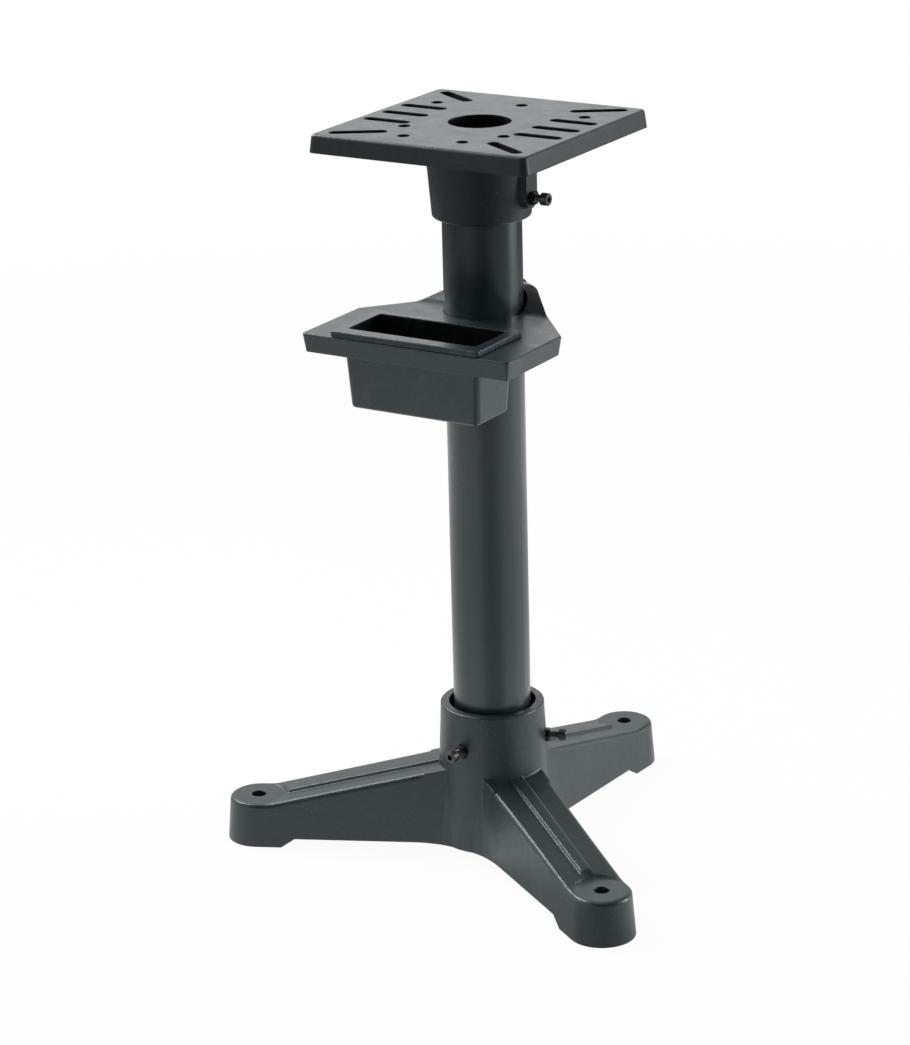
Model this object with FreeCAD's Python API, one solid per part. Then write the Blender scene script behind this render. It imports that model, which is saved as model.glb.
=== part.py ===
import FreeCAD, Part
import math
import os

V = FreeCAD.Vector
UP = V(0, 0, 1)

# Bench grinder stand, millimetres. Floor at z = 0, column axis on Z, front towards -Y.

# Shared fits
SLIP = 0.3            # radial gap of the column in its hub, socket and collar
THREAD_FIT = 0.05     # radial gap of a clamp screw in its threaded hole
TIP_GAP = 0.3         # gap between a screw tip and the column

# Column tube
COLUMN_R = 41.25
COLUMN_WALL = 3.0
COLUMN_SEAT_Z = 20.0  # top of the ledge in the hub that carries the tube

# Base casting
LEG_TURN = -4.5       # turn of the three legs against the top plate, degrees
FLOOR_HOLE_R = 258.7  # radius of the circle of floor bolt holes
BOLT_R = 8.0
PAD_TOP_Z = 48.0
PAD_BOTTOM_R = 35.0
PAD_TAPER = 0.083     # loss of pad radius per millimetre of height
PAD_FACE_R = 28.0
PAD_BOSS_R = 17.0
LEG_RISE = 10.0       # height of the leg edge above the floor
FOOT_IN = 25.0        # reach of a foot from its bolt hole towards the hub
FOOT_SLOPE = 15.0     # run of the slope between foot and leg edge
LEG_HUB_Z = 92.0      # leg top at LEG_HUB_X from the axis
LEG_HUB_X = 60.0
LEG_END_Z = 50.2      # leg top at LEG_END_X from the axis
LEG_END_X = 235.0
LEG_BEND_R = 50.0     # radius of the bend from the sloping top to the level pad
LEG_HUB_HALF = 37.0   # half-width of a leg at LEG_HUB_X, at the floor
LEG_TAPER = 0.037     # loss of that half-width per millimetre of height
LEG_INNER_X = 25.0    # the legs start here, inside the hub
LEG_EDGE_R = 4.5
LEG_EDGE_START = 72.0 # the top edges are sharp from the hub out to here
LEG_ROOT_R = 2.0      # fillet between the leg tops and the hub
LEG_CLEAR_HALF = 60.0 # half-width of the cutting block that is wider than any leg
WEB_DEPTH = 2.0       # depth of the webs between the legs below the hub's surface
CAST_WALL = 7.0
HUB_TOP_Z = 164.2
HUB_TOP_R = 55.5
HUB_TAPER = 0.047     # gain of hub radius per millimetre downwards
HUB_EDGE_R = 1.8
HUB_CORE_R = 58.0
HUB_DRAIN_R = 33.0
MOUTH_R = 46.0
MOUTH_DEPTH = 20.0
RIB_HEIGHT = 3.0
RIB_HUB_HALF = 6.5
RIB_END_HALF = 5.2
RIB_FLARE = 2.2
RIB_EDGE_R = 1.2
HUB_SCREW_Z = 124.0
SPOT_R = 8.4
SPOT_DEPTH = 0.6

# Top plate
PLATE_TOP_Z = 794.5
PLATE_HALF = 124.4
PLATE_THICK = 8.0
PLATE_DEPTH = 18.6
PLATE_FLARE = 2.6
PLATE_WALL = 7.0
PLATE_CORNER_R = 6.0
PLATE_EDGE_R = 3.4
CENTRE_HOLE_R = 32.5
SLOT_R = 6.6
SLOT_LENGTH = 54.0
SLOT_X = 88.5
SLOT_PITCH = 36.0
CORNER_SLOT_IN = V(65.3, 82.9, 0)
CORNER_SLOT_OUT = V(105.0, 107.0, 0)
HOLE_R = 6.5
PAIR_FRONT = (34.3, -90.6)
PAIR_MIDDLE = (58.0, -51.0)
PAIR_REAR = (87.7, 61.0)
SINGLE_REAR_Y = 84.7

# Socket under the plate
SOCKET_DEPTH = 97.0   # lower end of the socket below the plate's top
SOCKET_LOW_R = 51.0
SOCKET_TAPER = 0.076  # gain of socket radius per millimetre upwards
SOCKET_EDGE_R = 3.0
SOCKET_SCREW_DEPTH = 73.0
SOCKET_BOSS_X = 59.5
SOCKET_BOSS_HALF = 11.0
SOCKET_BOSS_FLARE = 3.0
SOCKET_SCREW_ANGLES = [0.0, 90.0]

# Tray on the column
TRAY_TOP_Z = 597.5
TRAY_HALF = 121.3
TRAY_FRONT = 158.5
TRAY_SHOULDER = 51.2
TRAY_NECK_R = 60.0
TRAY_SKIRT = 20.0
TRAY_DRAFT = 3.3
TRAY_THICK = 6.0
TRAY_WALL = 6.0
TRAY_CORNER_R = 5.0
TRAY_EDGE_R = 1.8
COLLAR_R = 54.0
COLLAR_DEPTH = 37.5
EAR_FOOT_Y = -3.0     # the ramp leaves the tray's top here
EAR_CREST_Y = 41.0    # and meets the ear's level top here
EAR_HEIGHT = 20.0
EAR_ROOT_INSET = 1.9  # step in from the tray's rim to the foot of the ear
EAR_LEAN = 2.0        # gain of that step up to the top of the ear
EAR_BACK_R = 4.0
EAR_FOOT_R = 30.0
EAR_CREST_R = 5.0
EAR_RELIEF_R = 45.0   # the ear stands clear of the column by this wider bore
EAR_BOSS_R = 11.0
EAR_BOSS_Y = 65.0
EAR_SCREW_UP = 8.0

# Water pot
POT_WALL = 5.1
POT_FLOOR = 5.0
POT_HALF = 79.8
POT_FRONT = 147.0
POT_BACK = 75.0
POT_DEPTH = 77.0
POT_DRAFT = 4.5
POT_CORNER_R = 7.0
POT_INNER_R = 4.0
POT_EDGE_R = 4.0
POT_CLEAR = 1.5
FLANGE_THICK = 6.3
FLANGE_SIDE = 7.2
FLANGE_FRONT = 10.8
FLANGE_BACK = 5.7
FLANGE_CORNER_R = 4.0
FLANGE_EDGE_R = 1.2
FLANGE_SEAM = 0.9     # chamfer of the flange's lower edge

# Clamp screws and jam nuts
SCREW_R = 4.0
SCREW_LENGTH = 30.0
SCREW_POINT = 1.5
THREAD_PITCH = 1.25
THREAD_DEPTH = 0.65
THREAD_TURNS = 8
HEAD_R = 6.5
HEAD_HEIGHT = 8.0
HEAD_CHAMFER = 0.7
HEX_SOCKET = 6.0
HEX_DEPTH = 4.2
NUT_FLATS = 13.0
NUT_THICK = 5.0
NUT_CHAMFER = 0.8

# Derived values
LEG_ANGLES = [90.0 + LEG_TURN + 120.0 * k for k in range(3)]
HUB_SCREW_ANGLES = [angle + 60.0 for angle in LEG_ANGLES]
LEG_SLOPE = (LEG_HUB_Z - LEG_END_Z) / (LEG_END_X - LEG_HUB_X)
BORE_R = COLUMN_R + SLIP
PLATE_UNDER_Z = PLATE_TOP_Z - PLATE_THICK
PLATE_LOW_Z = PLATE_TOP_Z - PLATE_DEPTH
SOCKET_LOW_Z = PLATE_TOP_Z - SOCKET_DEPTH
SOCKET_SCREW_Z = PLATE_TOP_Z - SOCKET_SCREW_DEPTH
TRAY_LOW_Z = TRAY_TOP_Z - TRAY_SKIRT
EAR_TOP_Z = TRAY_TOP_Z + EAR_HEIGHT
EAR_SCREW_Z = TRAY_TOP_Z + EAR_SCREW_UP
SCREW_TIP_X = COLUMN_R + TIP_GAP


def turned(shape, degrees):
    copy = shape.copy()
    copy.rotate(V(0, 0, 0), UP, degrees)
    return copy


def cylinder(radius, z_low, z_high):
    return Part.makeCylinder(radius, z_high - z_low, V(0, 0, z_low))


def cone(r_low, z_low, r_high, z_high):
    return Part.makeCone(r_low, r_high, z_high - z_low, V(0, 0, z_low))


def radial_cylinder(radius, x_low, x_high, z):
    return Part.makeCylinder(radius, x_high - x_low, V(x_low, 0, z), V(1, 0, 0))


def prism(points, direction):
    return Part.Face(Part.makePolygon(points + [points[0]])).extrude(direction)


def skin(wires):
    return Part.makeLoft(wires, True, True)


def bow(start, middle, end, curved):
    """Arc through three points, or the straight line between its ends."""
    return Part.Arc(start, middle, end).toShape() if curved else Part.makeLine(start, end)


def polar(radius, angle):
    return V(radius * math.cos(angle), radius * math.sin(angle), 0)


def rounded_wire(corners, z):
    """Closed outline through (x, y, radius) corners, each rounded by its radius."""
    points = [V(x, y, z) for x, y, _ in corners]
    edges = []
    ends = []
    for i, point in enumerate(points):
        before = (point - points[i - 1]).normalize()
        after = (points[(i + 1) % len(points)] - point).normalize()
        turn = before.getAngle(after)
        radius = corners[i][2]
        start = point - before * radius * math.tan(turn / 2)
        end = point + after * radius * math.tan(turn / 2)
        inward = (after - before).normalize()
        centre = point + inward * radius / math.cos(turn / 2)
        ends.append((start, centre - inward * radius, end))
    for i, (start, middle, end) in enumerate(ends):
        edges.append(Part.Arc(start, middle, end).toShape())
        edges.append(Part.makeLine(end, ends[(i + 1) % len(ends)][0]))
    return Part.Wire(edges)


def rectangle(x_half, y_low, y_high, radius, z):
    corners = [(-x_half, y_low), (x_half, y_low), (x_half, y_high), (-x_half, y_high)]
    return rounded_wire([(x, y, radius) for x, y in corners], z)


def slot(start, end, radius, z_low, z_high):
    along = (end - start).normalize()
    side = V(-along.y, along.x, 0) * radius
    lift = V(0, 0, z_low)
    edges = [
        Part.makeLine(start - side + lift, end - side + lift),
        Part.Arc(end - side + lift, end + along * radius + lift, end + side + lift).toShape(),
        Part.makeLine(end + side + lift, start + side + lift),
        Part.Arc(start + side + lift, start - along * radius + lift, start - side + lift).toShape(),
    ]
    return Part.Face(Part.Wire(edges)).extrude(V(0, 0, z_high - z_low))


def edges_where(shape, test):
    return [edge for edge in shape.Edges if test(edge.BoundBox, edge)]


def leg_point(x, y, angle, z):
    a = math.radians(angle)
    return V(x * math.cos(a) - y * math.sin(a), x * math.sin(a) + y * math.cos(a), z)


def leg_top(x):
    return LEG_HUB_Z - LEG_SLOPE * (x - LEG_HUB_X)


# ---------------------------------------------------------------- base casting

def leg_side(z):
    """Side line of a leg at one height: distance from the leg axis, lean and pad radius."""
    pad = PAD_BOTTOM_R - PAD_TAPER * z
    half = LEG_HUB_HALF - LEG_TAPER * z
    reach = FLOOR_HOLE_R - LEG_HUB_X
    lean = math.atan2(half, reach) - math.asin(pad / math.hypot(reach, half))
    return half * math.cos(lean) + LEG_HUB_X * math.sin(lean), lean, pad


def hub_r(z):
    return HUB_TOP_R + HUB_TAPER * (HUB_TOP_Z - z)


def crease_angle():
    """Angle off the leg axis of the crease in which a leg's side meets the hub."""
    z = leg_top(LEG_INNER_X)
    side, lean, _ = leg_side(z)
    return math.radians(90) - lean - math.acos(side / (hub_r(z) - WEB_DEPTH))


def star_wire(z, inset, swept):
    """Outline of the three legs at one height, moved inwards by inset.

    A swept outline joins neighbouring legs by one large arc tangent to their sides.
    Otherwise the sides run straight to the hub and an arc round the hub joins them.
    """
    side, lean, pad = leg_side(z)
    web = hub_r(z) - WEB_DEPTH
    between = math.radians(60)
    normal = polar(1, math.radians(90) - lean)
    along = V(normal.y, -normal.x, 0)
    centre_r = (web - side) / (1 - math.cos(math.radians(30) - lean))
    radius = centre_r - web + inset
    centre = polar(centre_r, between)
    root = centre - normal * radius
    side, pad, web = side - inset, pad - inset, web - inset
    if swept:
        turn = between - crease_angle()
        near = math.sqrt(radius ** 2 - (centre_r * math.sin(turn)) ** 2)
        corner = polar(centre_r * math.cos(turn) - near, crease_angle())
    else:
        corner = normal * side + along * math.sqrt(web ** 2 - side ** 2)
        root = normal * side + along * ((LEG_HUB_X - normal.x * side) / along.x)
    bend = centre + ((corner + root) * 0.5 - centre).normalize() * radius
    tip = V(FLOOR_HOLE_R, 0, 0) + normal * pad
    edges = []
    for angle in LEG_ANGLES:
        left = [leg_point(p.x, -p.y, angle, z) for p in (corner, bend, root, tip)]
        right = [leg_point(p.x, p.y, angle, z) for p in (corner, bend, root, tip)]
        nose = leg_point(FLOOR_HOLE_R + pad, 0, angle, z)
        waist = leg_point(web, 0, angle + 60, z)
        following = leg_point(corner.x, -corner.y, angle + 120, z)
        edges.append(bow(left[0], left[1], left[2], swept))
        edges.append(Part.makeLine(left[2], left[3]))
        edges.append(Part.Arc(left[3], nose, right[3]).toShape())
        edges.append(Part.makeLine(right[3], right[2]))
        edges.append(bow(right[2], right[1], right[0], swept))
        edges.append(Part.Arc(right[0], waist, following).toShape())
    return Part.Wire(edges)


def legs_star(z_low, inset):
    """Solid under all three legs: swept together at the floor, creased at the hub."""
    return skin([star_wire(z_low, inset, True), star_wire(leg_top(LEG_INNER_X), inset, False)])


def leg_envelope(x_low, half, drop):
    """Space under the top of one leg, which runs along +X, lowered by drop."""
    flat_x = LEG_HUB_X + (LEG_HUB_Z - PAD_TOP_Z) / LEG_SLOPE
    end_x = FLOOR_HOLE_R + 2 * PAD_BOTTOM_R
    slope = math.atan(LEG_SLOPE)
    run = LEG_BEND_R * math.tan(slope / 2)
    level = PAD_TOP_Z - drop
    centre = V(flat_x + run, -half, level + LEG_BEND_R)
    bend = [
        V(flat_x - run * math.cos(slope), -half, level + run * math.sin(slope)),
        centre - V(math.sin(slope / 2), 0, math.cos(slope / 2)) * LEG_BEND_R,
        V(flat_x + run, -half, level),
    ]
    corners = [bend[2], V(end_x, -half, level), V(end_x, -half, -1), V(x_low, -half, -1)]
    corners += [V(x_low, -half, leg_top(x_low) - drop), bend[0]]
    edges = [Part.makeLine(a, b) for a, b in zip(corners, corners[1:])]
    edges.append(Part.Arc(*bend).toShape())
    return Part.Face(Part.Wire(edges)).extrude(V(0, 2 * half, 0))


def leg_rib():
    """Low central rib on the top of one leg, with a round outer end."""
    start_x = HUB_CORE_R - CAST_WALL
    end_x = FLOOR_HOLE_R - PAD_FACE_R - RIB_END_HALF
    slope = math.atan(LEG_SLOPE)
    wires = []
    for lift, grow in ((-1.0, RIB_FLARE), (RIB_HEIGHT, 0.0)):
        a, b = RIB_HUB_HALF + grow, RIB_END_HALF + grow
        length = (end_x - start_x) / math.cos(slope)
        low, high = V(0, -a, lift), V(0, a, lift)
        out_low, out_high = V(length, -b, lift), V(length, b, lift)
        edges = [
            Part.makeLine(low, out_low),
            Part.Arc(out_low, V(length + b, 0, lift), out_high).toShape(),
            Part.makeLine(out_high, high),
            Part.makeLine(high, low),
        ]
        wires.append(Part.Wire(edges))
    rib = skin(wires)
    crown = edges_where(rib, lambda b, e: b.ZMin > RIB_HEIGHT - 0.01 and b.XMax > 1)
    rib = rib.makeFillet(RIB_EDGE_R, crown)
    rib.rotate(V(0, 0, 0), V(0, 1, 0), math.degrees(slope))
    rib.translate(V(start_x, 0, leg_top(start_x)))
    return rib


def pad_space():
    """Space above the flat top of a pad, in the leg's own frame."""
    space = cone(PAD_FACE_R, PAD_TOP_Z, 2 * PAD_FACE_R, PAD_TOP_Z + PAD_FACE_R)
    space.translate(V(FLOOR_HOLE_R, 0, 0))
    return space


def on_leg_top(box, edge):
    """Whether an edge of a leg along +X is an outer edge of its top."""
    middle = edge.valueAt((edge.FirstParameter + edge.LastParameter) / 2)
    expected = max(leg_top(middle.x), PAD_TOP_Z)
    outer = abs(middle.y) > 15 or middle.x > FLOOR_HOLE_R
    return abs(middle.z - expected) < 0.5 and outer and middle.x > LEG_EDGE_START + 1


def legs_outside():
    """Three drafted legs in one piece, sharp near the hub and rounded further out."""
    envelope = leg_envelope(LEG_INNER_X, LEG_CLEAR_HALF, 0)
    envelopes = [turned(envelope, angle) for angle in LEG_ANGLES]
    body = legs_star(0, 0).common(envelopes[0].multiFuse(envelopes[1:]))
    corner = V(LEG_EDGE_START, -LEG_CLEAR_HALF, -1)
    outer_space = Part.makeBox(FLOOR_HOLE_R, 2 * LEG_CLEAR_HALF, HUB_TOP_Z, corner)
    blocks = []
    for angle in LEG_ANGLES:
        block = turned(body, -angle).common(outer_space)
        block = block.makeFillet(LEG_EDGE_R, edges_where(block, on_leg_top))
        blocks.append(turned(block, angle))
    body = body.cut([turned(outer_space, angle) for angle in LEG_ANGLES]).multiFuse(blocks)
    return body.cut([turned(pad_space(), angle) for angle in LEG_ANGLES])


def leg_roots(body):
    """Edges in which the leg tops meet the hub."""

    def on_root(box, edge):
        middle = edge.valueAt((edge.FirstParameter + edge.LastParameter) / 2)
        if abs(math.hypot(middle.x, middle.y) - hub_r(middle.z)) > 0.2:
            return False
        heights = [leg_top(leg_point(middle.x, middle.y, -angle, 0).x) for angle in LEG_ANGLES]
        return abs(min(heights) - middle.z) < 0.2

    return edges_where(body, on_root)


def legs_hollow():
    """Space under the legs, open to the floor, with a boss at each bolt hole."""
    star = legs_star(-1, CAST_WALL)
    hollows = []
    for angle in LEG_ANGLES:
        envelope = leg_envelope(LEG_INNER_X, LEG_CLEAR_HALF, CAST_WALL)
        boss = cylinder(PAD_BOSS_R, -1, PAD_TOP_Z)
        boss.translate(V(FLOOR_HOLE_R, 0, 0))
        hollow = star.common(turned(envelope.cut(boss), angle))
        hollows.append(hollow.cut(cylinder(HUB_CORE_R, -2, HUB_TOP_Z)))
    return hollows


def screw_seat(face_x, z):
    """Threaded hole along +X and a flat spot for its nut."""
    hole = radial_cylinder(SCREW_R + THREAD_FIT, COLUMN_R - 5, face_x + 1, z)
    spot = radial_cylinder(SPOT_R, face_x, face_x + 15, z)
    return hole.fuse(spot)


def hub_face_x():
    return hub_r(HUB_SCREW_Z) - SPOT_DEPTH


def base_casting():
    hub = turned(cone(hub_r(LEG_RISE), LEG_RISE, HUB_TOP_R, HUB_TOP_Z), HUB_SCREW_ANGLES[0])
    hub = hub.makeFillet(HUB_EDGE_R, edges_where(hub, lambda b, e: b.ZMin > HUB_TOP_Z - 1))
    body = hub.fuse(legs_outside())
    body = body.makeFillet(LEG_ROOT_R, leg_roots(body))
    rib = leg_rib().cut(pad_space())
    body = body.multiFuse([turned(rib, angle) for angle in LEG_ANGLES])
    foot_r = FLOOR_HOLE_R - FOOT_IN
    body = body.cut(cone(foot_r, 0, foot_r - FOOT_SLOPE, LEG_RISE))
    cuts = legs_hollow()
    cuts.append(cylinder(HUB_DRAIN_R, 0, COLUMN_SEAT_Z + 1))
    cuts.append(cylinder(BORE_R, COLUMN_SEAT_Z, HUB_TOP_Z + 1))
    cuts.append(cylinder(MOUTH_R, HUB_TOP_Z - MOUTH_DEPTH, HUB_TOP_Z + 1))
    for angle in LEG_ANGLES:
        hole = cylinder(BOLT_R, -1, PAD_TOP_Z + 1)
        hole.translate(V(FLOOR_HOLE_R, 0, 0))
        cuts.append(turned(hole, angle))
    for angle in HUB_SCREW_ANGLES:
        cuts.append(turned(screw_seat(hub_face_x(), HUB_SCREW_Z), angle))
    return body.cut(cuts)


# --------------------------------------------------------------------- column

def column_tube():
    outside = cylinder(COLUMN_R, COLUMN_SEAT_Z, PLATE_UNDER_Z)
    return outside.cut(cylinder(COLUMN_R - COLUMN_WALL, COLUMN_SEAT_Z - 1, PLATE_UNDER_Z + 1))


# ------------------------------------------------------------------ top plate

def plate_shell():
    """Flared plate with a rounded top edge and a skirt round its underside."""
    top = rectangle(PLATE_HALF, -PLATE_HALF, PLATE_HALF, PLATE_CORNER_R, PLATE_TOP_Z)
    low_half = PLATE_HALF + PLATE_FLARE
    low = rectangle(low_half, -low_half, low_half, PLATE_CORNER_R + PLATE_FLARE, PLATE_LOW_Z)
    shell = skin([low, top])
    shell = shell.makeFillet(PLATE_EDGE_R, edges_where(shell, lambda b, e: b.ZMin > PLATE_TOP_Z - 1))
    inside = PLATE_HALF - PLATE_WALL
    recess = rectangle(inside, -inside, inside, PLATE_CORNER_R, PLATE_LOW_Z - 1)
    depth = PLATE_DEPTH - PLATE_THICK + 1
    return shell.cut(Part.Face(recess).extrude(V(0, 0, depth)))


def socket():
    """Tapered socket with a vertical pad for each clamp screw."""
    high_r = SOCKET_LOW_R + SOCKET_TAPER * (PLATE_UNDER_Z - SOCKET_LOW_Z)
    body = cone(SOCKET_LOW_R, SOCKET_LOW_Z, high_r, PLATE_UNDER_Z)
    rim = edges_where(body, lambda b, e: b.ZMax < SOCKET_LOW_Z + 1)
    body = body.makeFillet(SOCKET_EDGE_R, rim)
    for angle in SOCKET_SCREW_ANGLES:
        body = body.fuse(turned(socket_boss(), angle))
    return body


def socket_boss():
    wires = []
    for x, grow in ((COLUMN_R + 2, SOCKET_BOSS_FLARE), (SOCKET_BOSS_X, 0.0)):
        half = SOCKET_BOSS_HALF + grow
        z = SOCKET_SCREW_Z
        left, right = V(x, -half, z), V(x, half, z)
        edges = [
            Part.Arc(left, V(x, 0, z - half), right).toShape(),
            Part.makeLine(right, V(x, half, PLATE_UNDER_Z)),
            Part.makeLine(V(x, half, PLATE_UNDER_Z), V(x, -half, PLATE_UNDER_Z)),
            Part.makeLine(V(x, -half, PLATE_UNDER_Z), left),
        ]
        wires.append(Part.Wire(edges))
    return skin(wires)


def plate_holes():
    low, high = PLATE_UNDER_Z - 1, PLATE_TOP_Z + 1
    cuts = [cylinder(CENTRE_HOLE_R, low, high)]
    run = SLOT_LENGTH / 2 - SLOT_R
    for side in (-1, 1):
        for row in (-1, 0, 1):
            middle = V(side * SLOT_X, row * SLOT_PITCH, 0)
            cuts.append(slot(middle - V(run, 0, 0), middle + V(run, 0, 0), SLOT_R, low, high))
        for end in (-1, 1):
            start = V(side * CORNER_SLOT_IN.x, end * CORNER_SLOT_IN.y, 0)
            stop = V(side * CORNER_SLOT_OUT.x, end * CORNER_SLOT_OUT.y, 0)
            cuts.append(slot(start, stop, SLOT_R, low, high))
        for x, y in (PAIR_FRONT, PAIR_MIDDLE, PAIR_REAR):
            cuts.append(Part.makeCylinder(HOLE_R, high - low, V(side * x, y, low)))
    cuts.append(Part.makeCylinder(HOLE_R, high - low, V(0, SINGLE_REAR_Y, low)))
    return cuts


def mounting_plate():
    body = plate_shell().fuse(socket())
    cuts = plate_holes()
    cuts.append(cylinder(BORE_R, SOCKET_LOW_Z - 1, PLATE_UNDER_Z))
    for angle in SOCKET_SCREW_ANGLES:
        hole = radial_cylinder(SCREW_R + THREAD_FIT, COLUMN_R - 5, SOCKET_BOSS_X + 1, SOCKET_SCREW_Z)
        cuts.append(turned(hole, angle))
    return body.cut(cuts)


# ----------------------------------------------------------------------- tray

def tray_wire(z, inset):
    """Tray outline: straight front and sides, then tangents to the round neck."""
    half, front = TRAY_HALF - inset, TRAY_FRONT - inset
    neck, shoulder = TRAY_NECK_R - inset, TRAY_SHOULDER + inset * 0.4
    corner_r = max(TRAY_CORNER_R - inset, 1.0)
    reach = math.hypot(half, shoulder)
    touch = math.acos(neck / reach) - math.atan2(shoulder, half)
    right = V(neck * math.cos(touch), neck * math.sin(touch), z)
    left = V(-right.x, right.y, z)
    points = [V(-half, -front, z), V(half, -front, z), V(half, -shoulder, z)]
    points += [right, left, V(-half, -shoulder, z)]
    ends = {}
    for i in (0, 1, 2, 5):
        before = (points[i] - points[i - 1]).normalize()
        after = (points[(i + 1) % 6] - points[i]).normalize()
        turn = before.getAngle(after)
        start = points[i] - before * corner_r * math.tan(turn / 2)
        end = points[i] + after * corner_r * math.tan(turn / 2)
        inward = (after - before).normalize()
        middle = points[i] + inward * corner_r * (1 / math.cos(turn / 2) - 1)
        ends[i] = (start, middle, end)
    edges = []
    for i in (0, 1, 2, 5):
        edges.append(Part.Arc(*ends[i]).toShape())
        if i == 2:
            edges.append(Part.makeLine(ends[2][2], right))
            edges.append(Part.Arc(right, V(0, neck, z), left).toShape())
            edges.append(Part.makeLine(left, ends[5][0]))
        else:
            edges.append(Part.makeLine(ends[i][2], ends[(i + 1) % 6][0]))
    return Part.Wire(edges)


def tray_shell():
    shell = skin([tray_wire(TRAY_LOW_Z, TRAY_DRAFT), tray_wire(TRAY_TOP_Z, 0)])
    rim = edges_where(shell, lambda b, e: b.ZMin > TRAY_TOP_Z - 1)
    shell = shell.makeFillet(TRAY_EDGE_R, rim)
    inner = TRAY_DRAFT + TRAY_WALL
    recess = Part.Face(tray_wire(TRAY_LOW_Z - 1, inner))
    return shell.cut(recess.extrude(V(0, 0, TRAY_SKIRT - TRAY_THICK + 1)))


def ear_profile():
    """Side view of the ear: a ramp with a concave foot, then a level top."""
    x, low, back = -TRAY_HALF, TRAY_TOP_Z - TRAY_THICK, 2 * TRAY_NECK_R
    slope = math.atan(EAR_HEIGHT / (EAR_CREST_Y - EAR_FOOT_Y))
    ramp = V(0, math.cos(slope), math.sin(slope))
    bulge = V(0, math.sin(slope / 2), -math.cos(slope / 2))
    arcs = []
    for y, z, r in ((EAR_FOOT_Y, TRAY_TOP_Z, EAR_FOOT_R), (EAR_CREST_Y, EAR_TOP_Z, -EAR_CREST_R)):
        run = abs(r) * math.tan(slope / 2)
        level = V(x, y - math.copysign(run, r), z)
        sloped = V(x, y, z) + ramp * math.copysign(run, r)
        middle = level + V(0, 0, r) + bulge * r
        arcs.append((level, middle, sloped))
    foot, crest = arcs
    edges = [
        Part.makeLine(V(x, foot[0].y, low), foot[0]),
        Part.Arc(*foot).toShape(),
        Part.makeLine(foot[2], crest[2]),
        Part.Arc(*reversed(crest)).toShape(),
        Part.makeLine(crest[0], V(x, back, EAR_TOP_Z)),
        Part.makeLine(V(x, back, EAR_TOP_Z), V(x, back, low)),
        Part.makeLine(V(x, back, low), V(x, foot[0].y, low)),
    ]
    return Part.Face(Part.Wire(edges)).extrude(V(2 * TRAY_HALF, 0, 0))


def tray_ear():
    """Raised rear of the tray, which follows its outline round the column."""
    low, high = TRAY_TOP_Z - TRAY_THICK, EAR_TOP_Z
    rear = skin([tray_wire(low, EAR_ROOT_INSET), tray_wire(high, EAR_ROOT_INSET + EAR_LEAN)])
    start = EAR_FOOT_Y - EAR_FOOT_R
    rear = rear.common(Part.makeBox(2 * TRAY_HALF, TRAY_FRONT, 2 * high, V(-TRAY_HALF, start, 0)))
    crown = edges_where(rear, lambda b, e: b.ZMin > high - 0.01 and b.YMax > start + 1)
    ear = rear.makeFillet(EAR_BACK_R, crown).common(ear_profile())
    boss = radial_cylinder(EAR_BOSS_R, COLUMN_R + 2, EAR_BOSS_Y, EAR_SCREW_Z)
    return ear.fuse(turned(boss, 90)).cut(cylinder(EAR_RELIEF_R, TRAY_TOP_Z, high + 1))


def tray_bracket():
    body = tray_shell().fuse(cylinder(COLLAR_R, TRAY_TOP_Z - COLLAR_DEPTH, TRAY_TOP_Z - 1))
    body = body.fuse(tray_ear()).removeSplitter()
    opening = rectangle(
        POT_HALF + POT_CLEAR, -POT_FRONT - POT_CLEAR, -POT_BACK + POT_CLEAR, POT_CORNER_R, TRAY_LOW_Z
    )
    cuts = [Part.Face(opening).extrude(V(0, 0, TRAY_SKIRT + 1))]
    cuts.append(cylinder(BORE_R, TRAY_TOP_Z - COLLAR_DEPTH - 1, EAR_TOP_Z + 1))
    hole = radial_cylinder(SCREW_R + THREAD_FIT, COLUMN_R - 5, EAR_BOSS_Y + 1, EAR_SCREW_Z)
    cuts.append(turned(hole, 90))
    return body.cut(cuts)


# ------------------------------------------------------------------ water pot

def pot_wire(z, inset, radius):
    drafted = POT_DRAFT * (TRAY_TOP_Z - z) / POT_DEPTH
    inset = inset + drafted
    return rectangle(POT_HALF - inset, -POT_FRONT + inset, -POT_BACK - inset, radius, z)


def water_pot():
    low_z, high_z = TRAY_TOP_Z - POT_DEPTH, TRAY_TOP_Z + FLANGE_THICK
    body = skin([pot_wire(low_z, 0, POT_CORNER_R), pot_wire(high_z, 0, POT_CORNER_R)])
    floor_edges = edges_where(body, lambda b, e: b.ZMax < low_z + 1)
    body = body.makeFillet(POT_EDGE_R, floor_edges)
    flange_wire = rectangle(
        POT_HALF + FLANGE_SIDE,
        -POT_FRONT - FLANGE_FRONT,
        -POT_BACK + FLANGE_BACK,
        FLANGE_CORNER_R,
        TRAY_TOP_Z,
    )
    flange = Part.Face(flange_wire).extrude(V(0, 0, FLANGE_THICK))
    rim = edges_where(flange, lambda b, e: b.ZMin > high_z - 1)
    flange = flange.makeFillet(FLANGE_EDGE_R, rim)
    seam = edges_where(flange, lambda b, e: b.ZMax < TRAY_TOP_Z + 0.01)
    body = body.fuse(flange.makeChamfer(FLANGE_SEAM, seam))
    heights = (low_z + POT_FLOOR, high_z + 1)
    hollow = skin([pot_wire(z, POT_WALL, POT_INNER_R) for z in heights])
    hollow = hollow.makeFillet(2.0, edges_where(hollow, lambda b, e: b.ZMax < low_z + POT_FLOOR + 1))
    return body.cut(hollow)


# ------------------------------------------------------------------ fasteners

def hexagon(flats, x_low, x_high, z):
    corner = flats / math.sqrt(3)
    points = []
    for k in range(6):
        a = math.radians(60 * k)
        points.append(V(x_low, corner * math.cos(a), z + corner * math.sin(a)))
    return prism(points, V(x_high - x_low, 0, 0))


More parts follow.
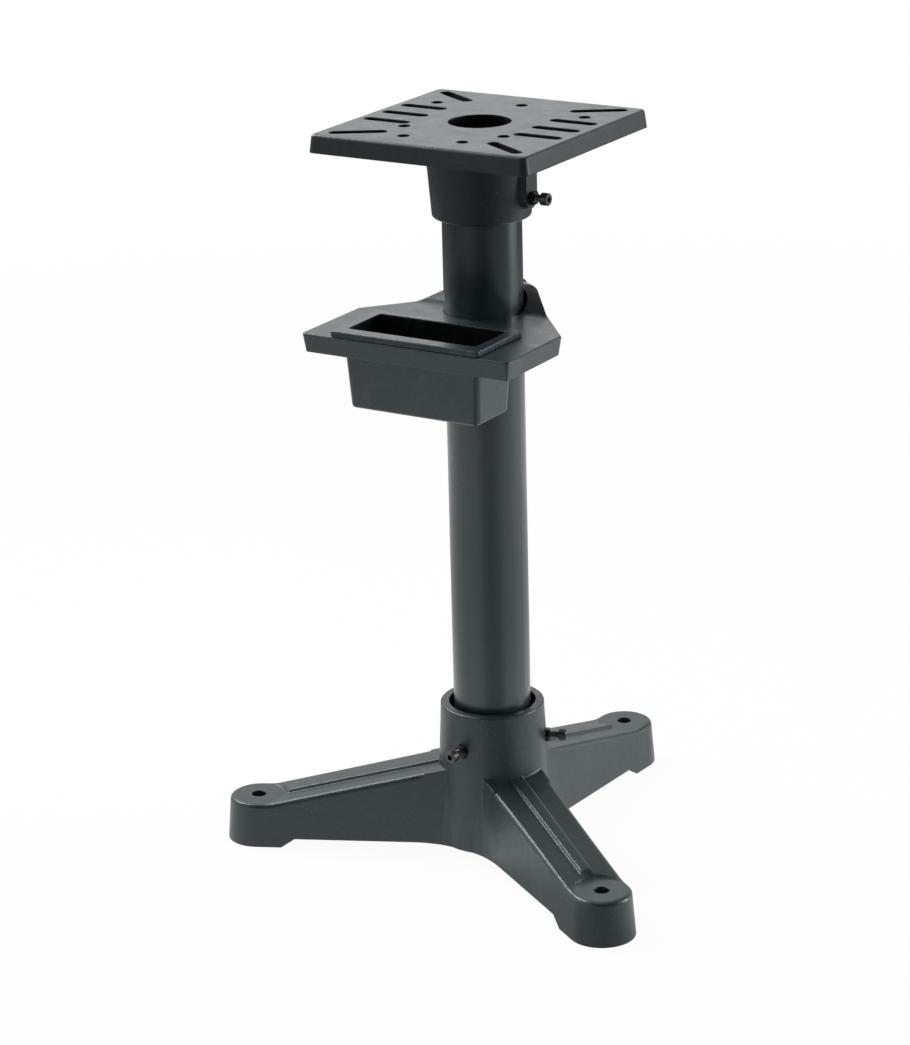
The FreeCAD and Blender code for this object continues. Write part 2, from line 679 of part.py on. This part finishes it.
def clamp_screw(z):
    """Socket head cap screw along +X with its point against the column."""
    tip, head = SCREW_TIP_X, SCREW_TIP_X + SCREW_LENGTH
    root = SCREW_R - THREAD_DEPTH
    profile = [(tip, 0), (tip, SCREW_R - SCREW_POINT), (tip + SCREW_POINT, SCREW_R)]
    thread_x = head - THREAD_PITCH * THREAD_TURNS
    for k in range(THREAD_TURNS):
        x = thread_x + k * THREAD_PITCH
        profile += [(x, SCREW_R), (x + THREAD_PITCH / 2, root)]
    top = head + HEAD_HEIGHT
    profile += [(head, SCREW_R), (head, HEAD_R), (top - HEAD_CHAMFER, HEAD_R)]
    profile += [(top, HEAD_R - HEAD_CHAMFER), (top, 0)]
    points = [V(x, r, 0) for x, r in profile]
    face = Part.Face(Part.makePolygon(points + [points[0]]))
    screw = face.revolve(V(0, 0, 0), V(1, 0, 0), 360)
    screw.translate(V(0, 0, z))
    return screw.cut(hexagon(HEX_SOCKET, top - HEX_DEPTH, top + 1, z))


def jam_nut(face_x, z):
    """Hexagon nut with chamfered corners, its inner face at face_x."""
    nut = hexagon(NUT_FLATS, face_x, face_x + NUT_THICK, z)
    corner = NUT_FLATS / math.sqrt(3)
    chamfer = corner - NUT_CHAMFER
    end = face_x + NUT_THICK
    profile = [(face_x, 0), (face_x, chamfer), (face_x + NUT_CHAMFER / 2, corner)]
    profile += [(end - NUT_CHAMFER / 2, corner), (end, chamfer), (end, 0)]
    points = [V(x, r, 0) for x, r in profile]
    round_body = Part.Face(Part.makePolygon(points + [points[0]])).revolve(V(0, 0, 0), V(1, 0, 0), 360)
    round_body.translate(V(0, 0, z))
    hole = radial_cylinder(SCREW_R + THREAD_FIT, face_x - 1, end + 1, z)
    return nut.common(round_body).cut(hole)


def fasteners():
    nodes = {}
    for k, angle in enumerate(HUB_SCREW_ANGLES):
        nodes["hub_screw_%d" % (k + 1)] = turned(clamp_screw(HUB_SCREW_Z), angle)
        nodes["hub_nut_%d" % (k + 1)] = turned(jam_nut(hub_face_x(), HUB_SCREW_Z), angle)
    for k, angle in enumerate(SOCKET_SCREW_ANGLES):
        nodes["socket_screw_%d" % (k + 1)] = turned(clamp_screw(SOCKET_SCREW_Z), angle)
        nodes["socket_nut_%d" % (k + 1)] = turned(jam_nut(SOCKET_BOSS_X, SOCKET_SCREW_Z), angle)
    nodes["tray_screw"] = turned(clamp_screw(EAR_SCREW_Z), 90)
    nodes["tray_nut"] = turned(jam_nut(EAR_BOSS_Y, EAR_SCREW_Z), 90)
    return nodes


def main():
    os.makedirs("parts", exist_ok=True)
    nodes = {
        "base_casting": base_casting(),
        "column_tube": column_tube(),
        "mounting_plate": mounting_plate(),
        "tray_bracket": tray_bracket(),
        "water_pot": water_pot(),
    }
    nodes.update(fasteners())
    for name, solid in nodes.items():
        solid.exportStep("parts/%s.step" % name)
        print(name, len(solid.Solids), solid.isValid(), round(solid.Volume / 1000.0, 1), "cm3")


main()
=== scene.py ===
import bpy
import math
from mathutils import Matrix, Vector

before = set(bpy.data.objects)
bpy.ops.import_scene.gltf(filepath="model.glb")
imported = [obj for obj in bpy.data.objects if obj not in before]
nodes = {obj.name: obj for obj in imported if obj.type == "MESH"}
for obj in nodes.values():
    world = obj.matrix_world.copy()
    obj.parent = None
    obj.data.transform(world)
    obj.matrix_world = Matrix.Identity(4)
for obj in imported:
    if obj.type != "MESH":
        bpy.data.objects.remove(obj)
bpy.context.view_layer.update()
scene = bpy.context.scene


# ---------------------------------------------------------------------- sizes
# Lengths are in metres. The frame's z axis is the column's axis, and the floor is at z 0.

def extent(name):
    """Lowest and highest corner of a node at rest."""
    points = [vertex.co for vertex in nodes[name].data.vertices]
    low = Vector([min(point[axis] for point in points) for axis in range(3)])
    high = Vector([max(point[axis] for point in points) for axis in range(3)])
    return low, high


COLUMN_R = extent("column_tube")[1].x
BORE_R = COLUMN_R - 0.00205         # inside the tube's wall
MOUTH_R = COLUMN_R + 0.00525        # just past the hub's mouth
RELIEF_R = COLUMN_R + 0.00425       # just past the bore in the tray's ear

PLATE_LOW, PLATE_HIGH = extent("mounting_plate")
SLOTS_REACH = PLATE_HIGH.x - 0.013  # past the ends of the slots, short of the plate's sides
SLOTS_LOW = PLATE_HIGH.z - 0.0145   # under the slab with the slots
SLOTS_HIGH = PLATE_HIGH.z - 0.0010  # just below its top face
UNDER_SOCKET = PLATE_LOW.z - 0.0075

POT_DEPTH = 0.077                   # below the tray's top
TRAY_TOP = extent("water_pot")[0].z + POT_DEPTH
RELIEF_LOW = TRAY_TOP + 0.0005
RELIEF_HIGH = TRAY_TOP + 0.0325     # above the ear
POT_MIDDLE = (0.0, -0.111, TRAY_TOP)
POT_HALVES = (0.0772, 0.0334)       # to the middle of the pot's wall, at the tray's top
POT_DRAFT = 0.058                   # what each wall leans in for its depth
POT_RIM = (0.0045, 0.0055)          # above the tray's top, where the pot's inside ends
MASK_SOFT = 0.0004                  # width over which the edge of a mask fades

# Radius of the rounded edges, and the distances from the axis between which it changes.
HUB_EDGE = 0.0022
LEG_EDGE = 0.0036
FOOT_EDGE = 0.0016
HUB_TO_LEG = (0.06, 0.09)
LEG_TO_FOOT = (0.22, 0.25)
PLATE_EDGE = 0.0016
POT_EDGE = 0.0011
TUBE_EDGE = 0.0010
SCREW_EDGE = 0.00035


# ---------------------------------------------------------------- shader nodes

class Graph:
    """Adds and joins the shader nodes of one material or world."""

    def __init__(self, owner, place="Object"):
        self.owner = owner
        owner.use_nodes = True
        self.tree = owner.node_tree
        self.tree.nodes.clear()
        self.place = self.node("TexCoord").outputs[place]

    def node(self, kind, inputs=None, **settings):
        node = self.tree.nodes.new("ShaderNode" + kind)
        for key, value in settings.items():
            setattr(node, key, value)
        for key, value in (inputs or {}).items():
            if isinstance(value, bpy.types.NodeSocket):
                self.tree.links.new(value, node.inputs[key])
            else:
                node.inputs[key].default_value = value
        return node

    def noise(self, scale, detail=2.0, roughness=0.5, distortion=0.0, place=None):
        """Soft lumps, about as many to the metre as the scale says."""
        inputs = {
            "Vector": place or self.place,
            "Scale": scale,
            "Detail": detail,
            "Roughness": roughness,
            "Distortion": distortion,
        }
        return self.node("TexNoise", inputs).outputs["Fac"]

    def cells(self, scale):
        """Distance to the nearest of many scattered points."""
        inputs = {"Vector": self.place, "Scale": scale}
        return self.node("TexVoronoi", inputs).outputs["Distance"]

    def stretched(self, x, y, z):
        """Places scaled along each axis, so that a pattern is drawn out where it is small."""
        return self.node("Mapping", {"Vector": self.place, "Scale": (x, y, z)}).outputs["Vector"]

    def ramp(self, value, low, high, out_low=0.0, out_high=1.0):
        inputs = {
            "Value": value,
            "From Min": low,
            "From Max": high,
            "To Min": out_low,
            "To Max": out_high,
        }
        return self.node("MapRange", inputs).outputs["Result"]

    def band(self, value, rise_from, rise_to, fall_from, fall_to):
        """Smooth mask that rises over one span of a value and falls over another."""
        rise = self.ramp(value, rise_from, rise_to)
        return self.times(rise, self.ramp(value, fall_from, fall_to, 1.0, 0.0))

    def math(self, operation, a, b=0.0):
        return self.node("Math", {0: a, 1: b}, operation=operation).outputs[0]

    def times(self, a, b):
        return self.math("MULTIPLY", a, b)

    def total(self, terms):
        """Sum of values, each times its own weight."""
        result = 0.0
        for weight, value in terms:
            result = self.math("ADD", result, self.times(value, weight))
        return result

    def vector(self, operation, a, b=(0.0, 0.0, 0.0)):
        node = self.node("VectorMath", {0: a, 1: b}, operation=operation)
        return node.outputs["Value" if operation in ("LENGTH", "DOT_PRODUCT") else "Vector"]

    def from_axis(self):
        """Distance from the column's axis."""
        return self.vector("LENGTH", self.vector("MULTIPLY", self.place, (1, 1, 0)))

    def mix(self, factor, a, b):
        return self.node("Mix", {0: factor, 6: a, 7: b}, data_type="RGBA").outputs[2]

    def cover(self, color, other, mask, share):
        """Lays a share of another colour over a colour, where the mask is."""
        return self.mix(self.times(mask, share), color, other)

    def edges(self, radius, start=0.995, full=0.90):
        """Rounded normal, and a mask of the sharp convex and concave edges."""
        soft = self.node("Bevel", {"Radius": radius}, samples=8).outputs["Normal"]
        flat = self.node("NewGeometry").outputs["Normal"]
        return soft, self.ramp(self.vector("DOT_PRODUCT", soft, flat), start, full)

    def bump(self, height, distance, strength, normal):
        inputs = {"Height": height, "Distance": distance, "Strength": strength, "Normal": normal}
        return self.node("Bump", inputs).outputs["Normal"]

    def inside(self, low, high):
        """Mask of a box in the frame, open where a limit is None."""
        axes = self.node("SeparateXYZ", {0: self.place}).outputs
        mask = 1.0
        for axis, least, most in zip(axes, low, high):
            if least is not None:
                mask = self.times(mask, self.ramp(axis, least - MASK_SOFT, least))
            if most is not None:
                mask = self.times(mask, self.ramp(axis, most, most + MASK_SOFT, 1.0, 0.0))
        return mask

    def within(self, radius):
        """Mask of a cylinder round the column's axis."""
        return self.ramp(self.from_axis(), radius, radius + MASK_SOFT, 1.0, 0.0)

    def upright(self):
        """Mask of the surfaces that stand upright."""
        normal = self.node("NewGeometry").outputs["True Normal"]
        lean = self.math("ABSOLUTE", self.node("SeparateXYZ", {0: normal}).outputs["Z"])
        return self.ramp(lean, 0.3, 0.6, 1.0, 0.0)

    def glow(self, kind, color, strength):
        """Emission of a surface, or Background of a world."""
        return self.node(kind, {"Color": color, "Strength": strength}).outputs[0]

    def choose(self, factor, a, b):
        """Mix of two shaders."""
        return self.node("MixShader", {0: factor, 1: a, 2: b}).outputs[0]

    def surface(self, color, roughness, normal, **others):
        inputs = {"Base Color": color, "Roughness": roughness, "Normal": normal}
        inputs.update({key.replace("_", " "): value for key, value in others.items()})
        return self.finish(self.node("BsdfPrincipled", inputs).outputs["BSDF"])

    def finish(self, shader, output="OutputMaterial"):
        self.node(output, {"Surface": shader})
        return self.owner


def new_material(name):
    return Graph(bpy.data.materials.new(name))


# ------------------------------------------------------------------ materials

def rgb(red, green, blue):
    """Linear colour from 8-bit sRGB values."""
    parts = []
    for value in (red, green, blue):
        part = value / 255
        parts.append(part / 12.92 if part <= 0.04045 else ((part + 0.055) / 1.055) ** 2.4)
    return (*parts, 1.0)


SLATE_RUBBED = rgb(104, 116, 120)
CAST_SLATE = (rgb(30, 40, 43), rgb(41, 51, 55), SLATE_RUBBED)
TUBE_SLATE = (rgb(29, 39, 42), rgb(39, 49, 52), SLATE_RUBBED)
SCREW_BLACK = (rgb(72, 76, 78), rgb(92, 92, 88), rgb(176, 176, 172))
NUT_BLACK = (rgb(44, 47, 48), rgb(58, 57, 54), rgb(150, 149, 146))
# Painted shade: near-black colours laid over recesses, gaps, the pot's inside and the tube's bore.
PAINTED_SHADE_COLOR = rgb(9, 10, 10)
BORE_PAINTED_SHADE = rgb(12, 12, 12)
PAINT_TINT = (0.92, 0.99, 1.0, 1.0)     # of the paint's reflections
PAINT_SPECULAR = 0.65
PAINTED_SHADE_SPECULAR = 0.08
SIDE_PAINTED_SHADE = 0.42                       # share of the painted shade on the plate's upright sides


def cast_paint(name, grain, lump, roughness, rounding, shade_mask):
    """Satin paint over a sand casting: soft lumps, orange peel, pits and rubbed edges.

    Grain and lump are the depths of the fine and the coarse relief. The function rounding
    gives the radius of the edges, and the last function gives the mask of the recesses and sides
    where shade is painted into the colour.
    """
    graph = new_material(name)
    dark, light, rubbed = CAST_SLATE
    soft, edge = graph.edges(rounding(graph), 0.95, 0.80)

    fine = graph.noise(900.0, 2.0, 0.6)
    peel = graph.noise(260.0, 2.5, 0.55, 0.4)
    pit = graph.ramp(graph.cells(95.0), 0.0, 0.16, 1.0, 0.0)
    rare = graph.ramp(graph.noise(14.0, 1.0), 0.52, 0.60)
    pitted = graph.math("SUBTRACT", 1.0, graph.times(pit, rare))
    normal = graph.bump(graph.noise(22.0, 3.0, 0.55), lump, 0.5, soft)
    normal = graph.bump(graph.total([(0.50, peel), (0.34, fine), (0.35, pitted)]), grain, 1.0, normal)

    color = graph.mix(graph.ramp(graph.noise(9.0, 4.0, 0.6), 0.32, 0.68), dark, light)
    mottle = graph.ramp(graph.noise(150.0, 3.0, 0.65), 0.35, 0.70)
    color = graph.cover(color, light, mottle, 0.30)
    dust = graph.ramp(graph.noise(520.0, 1.0, 0.5), 0.64, 0.74)
    color = graph.cover(color, rubbed, dust, 0.22)
    worn = graph.times(edge, graph.ramp(graph.noise(70.0, 3.0, 0.7), 0.42, 0.66))
    color = graph.cover(color, rubbed, worn, 0.16)
    # Painted shade: the masked recesses and sides are darkened towards near-black, with a little
    # random variation, and lose most of their specular level.
    painted_shade_amount = graph.times(shade_mask(graph), graph.ramp(graph.noise(90.0, 2.0), 0.2, 0.5, 0.85, 1.0))
    color = graph.mix(painted_shade_amount, color, PAINTED_SHADE_COLOR)

    clouds = graph.ramp(graph.noise(60.0, 3.0, 0.6), 0.3, 0.7, roughness - 0.03, roughness + 0.05)
    rough = graph.total([(1.0, clouds), (0.05, fine), (0.4, painted_shade_amount)])
    specular = graph.ramp(painted_shade_amount, 0.0, 1.0, PAINT_SPECULAR, PAINTED_SHADE_SPECULAR)
    return graph.surface(color, rough, normal, Specular_IOR_Level=specular, Specular_Tint=PAINT_TINT)


def leg_rounding(graph):
    """Broad rounded edges on the legs, tighter ones on the hub's rim and the feet."""
    far = graph.from_axis()
    wide = graph.ramp(far, *HUB_TO_LEG, HUB_EDGE, LEG_EDGE)
    return graph.math("SUBTRACT", wide, graph.ramp(far, *LEG_TO_FOOT, 0.0, LEG_EDGE - FOOT_EDGE))


def plate_rounding(graph):
    return PLATE_EDGE


def pot_rounding(graph):
    return POT_EDGE


def hub_mouth_shade(graph):
    """Mask of the gap round the tube in the base, where shade is painted into the colour."""
    return graph.within(MOUTH_R)


def slot_wall_shade(graph):
    """Walls of the plate's slots and holes, and of the bore in the tray's ear.

    Shade is painted into these walls, and a share of it into the upright sides of the plate and its
    socket.
    """
    slots_low = (-SLOTS_REACH, -SLOTS_REACH, SLOTS_LOW)
    slots = graph.inside(slots_low, (SLOTS_REACH, SLOTS_REACH, SLOTS_HIGH))
    relief = graph.inside((None, None, RELIEF_LOW), (None, None, RELIEF_HIGH))
    relief = graph.times(graph.within(RELIEF_R), relief)
    walls = graph.times(graph.math("MAXIMUM", slots, relief), graph.upright())
    sides = graph.times(graph.inside((None, None, UNDER_SOCKET), (None, None, None)), graph.upright())
    return graph.math("MAXIMUM", walls, graph.times(sides, SIDE_PAINTED_SHADE))


def pot_inside_shade(graph):
    """Mask of the inner walls and floor of the pot, which narrow downwards, where shade is painted
    into the colour.
    """
    inner = graph.vector("SUBTRACT", graph.place, POT_MIDDLE)
    x, y, z = graph.node("SeparateXYZ", {0: inner}).outputs
    narrowing = graph.times(z, -POT_DRAFT)
    mask = graph.ramp(z, *POT_RIM, 1.0, 0.0)
    for axis, half in zip((x, y), POT_HALVES):
        reach = graph.math("ADD", graph.math("ABSOLUTE", axis), narrowing)
        mask = graph.times(mask, graph.ramp(reach, half, half + MASK_SOFT, 1.0, 0.0))
    return mask


def tube_paint(name, roughness):
    """Satin paint on a drawn tube: faint long streaks, light orange peel, a few scuffs."""
    graph = new_material(name)
    dark, light, rubbed = TUBE_SLATE
    soft, edge = graph.edges(TUBE_EDGE)
    streak = graph.noise(60.0, 3.0, 0.6, 0.0, graph.stretched(1.0, 1.0, 0.05))
    peel = graph.noise(420.0, 2.0, 0.5)
    grain = 0.00007
    normal = graph.bump(graph.total([(0.5, peel), (0.08, streak)]), grain, 1.0, soft)

    color = graph.mix(graph.ramp(streak, 0.35, 0.65), dark, light)
    cloud = graph.ramp(graph.noise(8.0, 3.0, 0.6), 0.35, 0.65)
    color = graph.cover(color, light, cloud, 0.35)
    rings = graph.noise(240.0, 2.0, 0.6, 0.0, graph.stretched(0.25, 0.25, 1.0))
    scuff = graph.times(graph.ramp(rings, 0.66, 0.76), graph.ramp(graph.noise(11.0, 2.0), 0.55, 0.66))
    color = graph.cover(color, rubbed, scuff, 0.30)
    speck = graph.ramp(graph.cells(55.0), 0.035, 0.02)
    color = graph.cover(color, rubbed, speck, 0.35)
    color = graph.cover(color, rubbed, edge, 0.35)
    # Painted shade: the inside of the tube's bore is darkened to near-black.
    bore = graph.within(BORE_R)
    color = graph.mix(bore, color, BORE_PAINTED_SHADE)

    clouds = graph.ramp(streak, 0.3, 0.7, roughness - 0.03, roughness + 0.05)
    rough = graph.total([(1.0, clouds), (0.6, bore)])
    coat = graph.ramp(bore, 0.0, 1.0, 0.35, 0.0)
    return graph.surface(
        color, rough, normal,
        Specular_IOR_Level=PAINT_SPECULAR, Specular_Tint=PAINT_TINT,
        Coat_Weight=coat, Coat_Roughness=0.14,
    )


def black_oxide(name, colors):
    """Black oxide steel: brownish clouds, machining lines and bright worn edges."""
    graph = new_material(name)
    dark, brown, bright = colors
    soft, edge = graph.edges(SCREW_EDGE)
    cloud = graph.noise(320.0, 3.0, 0.6)
    lines = graph.noise(900.0, 2.0, 0.6, 0.0, graph.stretched(1.0, 1.0, 0.08))
    grain = 0.00005
    normal = graph.bump(graph.total([(0.5, lines), (0.5, cloud)]), grain, 1.0, soft)
    color = graph.mix(graph.ramp(cloud, 0.38, 0.66), dark, brown)
    worn = graph.times(edge, graph.ramp(graph.noise(500.0, 2.0), 0.35, 0.60))
    color = graph.cover(color, bright, worn, 0.7)
    rough = graph.ramp(lines, 0.3, 0.7, 0.30, 0.46)
    return graph.surface(color, rough, normal, Metallic=0.75, Specular_IOR_Level=0.5)


def paint(material, *names):
    for name in names:
        slots = nodes[name].data.materials
        slots.clear()
        slots.append(material)


base_iron = cast_paint("cast_base", 0.00044, 0.0010, 0.32, leg_rounding, hub_mouth_shade)
plate_iron = cast_paint("cast_plate", 0.00030, 0.0003, 0.27, plate_rounding, slot_wall_shade)
pot_iron = cast_paint("cast_pot", 0.00026, 0.0004, 0.24, pot_rounding, pot_inside_shade)

paint(base_iron, "base_casting")
paint(plate_iron, "mounting_plate", "tray_bracket")
paint(pot_iron, "water_pot")
paint(tube_paint("tube_slate_paint", 0.30), "column_tube")
paint(black_oxide("screw_steel", SCREW_BLACK), *[name for name in nodes if "screw" in name])
paint(black_oxide("nut_steel", NUT_BLACK), *[name for name in nodes if "nut" in name])


# --------------------------------------------------------------------- camera

def place_camera():
    """Camera at the photograph's viewing angle, aimed a little down from above."""
    azimuth = math.radians(31.079)
    yaw = math.radians(0.624)
    pitch = math.radians(19.139)
    roll = math.radians(-1.456)
    distance = 3.2393
    height = 1.4899

    facing = azimuth + yaw
    forward = Vector(
        (-math.sin(facing) * math.cos(pitch), math.cos(facing) * math.cos(pitch), -math.sin(pitch))
    )
    level = Vector((math.cos(facing), math.sin(facing), 0.0))
    upright = level.cross(forward)
    right = math.cos(roll) * level + math.sin(roll) * upright
    up = -math.sin(roll) * level + math.cos(roll) * upright
    turn = Matrix((right, up, -forward)).transposed().to_4x4()
    spot = (distance * math.sin(azimuth), -distance * math.cos(azimuth), height)

    data = bpy.data.cameras.new("camera")
    data.sensor_width = 36.0
    data.lens = 112.02
    data.clip_start = 0.1
    data.clip_end = 100.0
    camera = bpy.data.objects.new("camera", data)
    scene.collection.objects.link(camera)
    camera.matrix_world = Matrix.Translation(spot) @ turn
    scene.camera = camera


# ------------------------------------------------------------ floor and light

def compass(azimuth):
    """Level direction from the stand towards an azimuth, in degrees."""
    turn = math.radians(azimuth)
    return (math.sin(turn), -math.cos(turn), 0.0)


VIEW_AZIMUTH = 31                   # the camera's, in whole degrees
BEHIND = compass(VIEW_AZIMUTH + 180)
RIGHT = compass(VIEW_AZIMUTH + 90)

WHITE = (1.0, 1.0, 1.0, 1.0)
COOL_WHITE = (0.97, 1.0, 1.0, 1.0)
COOL_GREY = (0.94, 0.98, 1.0, 1.0)
SOFT_LIGHT = 0.35                   # strength of the room's even light

FLOOR_HALF = 30.0
# Brightness in reflections of the floor, in four rings from the middle outwards, and the
# distances over which each ring fades into the next and the last one into the dark.
FLOOR_SHINE = (1.0, 0.69, 1.0, 0.10)
RING_ENDS = ((0.5, 0.7), (1.0, 1.3), (1.8, 2.3), (3.2, 4.0))

# A sector of the floor towards the front is darker in reflections.
FRONT = compass(39)
FRONT_SHINE = 0.5
FRONT_EDGE = (0.80, 0.96)           # cosines of the angle from its middle

# Brightness in reflections of the room: behind low, behind high and on the left.
LOW_SHINE = 0.71
HIGH_SHINE = 0.40
LEFT_SHINE = 1.0


def make_floor():
    """Wide pale floor of paper, with the rings in reflections.

    The camera sees it white, with a little of the true paper and its shadows near the stand.
    """
    mesh = bpy.data.meshes.new("floor")
    square = ((-1, -1), (1, -1), (1, 1), (-1, 1))
    corners = [(FLOOR_HALF * x, FLOOR_HALF * y, 0.0) for x, y in square]
    mesh.from_pydata(corners, [], [(0, 1, 2, 3)])
    floor = bpy.data.objects.new("floor", mesh)
    scene.collection.objects.link(floor)

    graph = new_material("floor_paper")
    clouds = graph.ramp(graph.noise(3.0, 3.0), 0.3, 0.7)
    tone = graph.mix(clouds, (0.80, 0.80, 0.80, 1.0), (0.83, 0.83, 0.83, 1.0))
    paper = graph.node("BsdfDiffuse", {"Color": tone}).outputs[0]

    far = graph.vector("LENGTH", graph.place)
    rings = [graph.ramp(far, *RING_ENDS[0], 1.0, 0.0)]
    for start, end in zip(RING_ENDS, RING_ENDS[1:]):
        rings.append(graph.band(far, *start, *end))
    toward_front = graph.vector("DOT_PRODUCT", graph.place, FRONT)
    cosine = graph.math("DIVIDE", toward_front, graph.math("MAXIMUM", far, 0.001))
    front = graph.ramp(cosine, *FRONT_EDGE, 1.0, FRONT_SHINE)
    shine = graph.times(graph.total(zip(FLOOR_SHINE, rings)), front)
    mirrored = graph.glow("Emission", COOL_WHITE, shine)

    path = graph.node("LightPath").outputs
    shader = graph.choose(path["Is Glossy Ray"], paper, mirrored)
    seen_white = graph.times(path["Is Camera Ray"], graph.ramp(far, 0.8, 3.0, 0.95, 1.0))
    shader = graph.choose(seen_white, shader, graph.glow("Emission", WHITE, 1.0))
    mesh.materials.append(graph.finish(shader))


def make_world():
    """White to the camera, a dark room with pale walls to reflections, even light to the rest.

    Back, side and up say how far a direction points each way, from -1 to 1.
    """
    world = bpy.data.worlds.new("studio")
    graph = Graph(world, "Generated")
    back = graph.vector("DOT_PRODUCT", graph.place, BEHIND)
    side = graph.vector("DOT_PRODUCT", graph.place, RIGHT)
    up = graph.node("SeparateXYZ", {0: graph.place}).outputs["Z"]
    low_end = (0.35, 0.55)
    low = graph.ramp(up, *low_end, 1.0, 0.0)
    high = graph.band(up, *low_end, 0.75, 0.9)
    left = graph.times(graph.ramp(side, -0.35, -0.75), graph.ramp(up, 0.6, 0.8, 1.0, 0.0))
    back_wall = graph.times(graph.ramp(back, 0.2, 0.6), graph.ramp(left, 0.0, 1.0, 1.0, 0.0))
    shine = graph.total([
        (LOW_SHINE, graph.times(back_wall, low)),
        (HIGH_SHINE, graph.times(graph.ramp(back, 0.0, 0.4), high)),
        (LEFT_SHINE, left),
    ])
    even = graph.glow("Background", COOL_GREY, SOFT_LIGHT)
    mirrored = graph.glow("Background", COOL_WHITE, shine)
    path = graph.node("LightPath").outputs
    shader = graph.choose(path["Is Glossy Ray"], even, mirrored)
    shader = graph.choose(path["Is Camera Ray"], shader, graph.glow("Background", WHITE, 1.0))
    scene.world = graph.finish(shader, "OutputWorld")


def softbox(name, place, aim, width, height, watts):
    data = bpy.data.lights.new(name, "AREA")
    data.shape = "RECTANGLE"
    data.size = width
    data.size_y = height
    data.energy = watts
    data.spread = math.radians(110)
    light = bpy.data.objects.new(name, data)
    scene.collection.objects.link(light)
    light.location = place
    light.rotation_mode = "QUATERNION"
    light.rotation_quaternion = (Vector(aim) - Vector(place)).to_track_quat("-Z", "Y")


place_camera()
make_floor()
make_world()
scene.view_settings.view_transform = "Standard"

# A wide faint box behind, a strong narrow one on the right, a faint one overhead and a
# strong one high on the left.
MIDDLE = (0.0, 0.0, 0.4)
UPPER_PART = (0.0, 0.0, 0.7)
softbox("back_softbox", (-2.1, 3.4, 2.1), UPPER_PART, 4.4, 1.9, 5.4)
softbox("right_softbox", (2.6, 1.8, 1.0), MIDDLE, 1.0, 1.8, 25.5)
softbox("top_softbox", (0.0, 0.0, 2.4), MIDDLE, 1.4, 1.4, 2.9)
softbox("top_left_softbox", (-1.8, 0.2, 2.2), MIDDLE, 1.2, 1.2, 20.6)
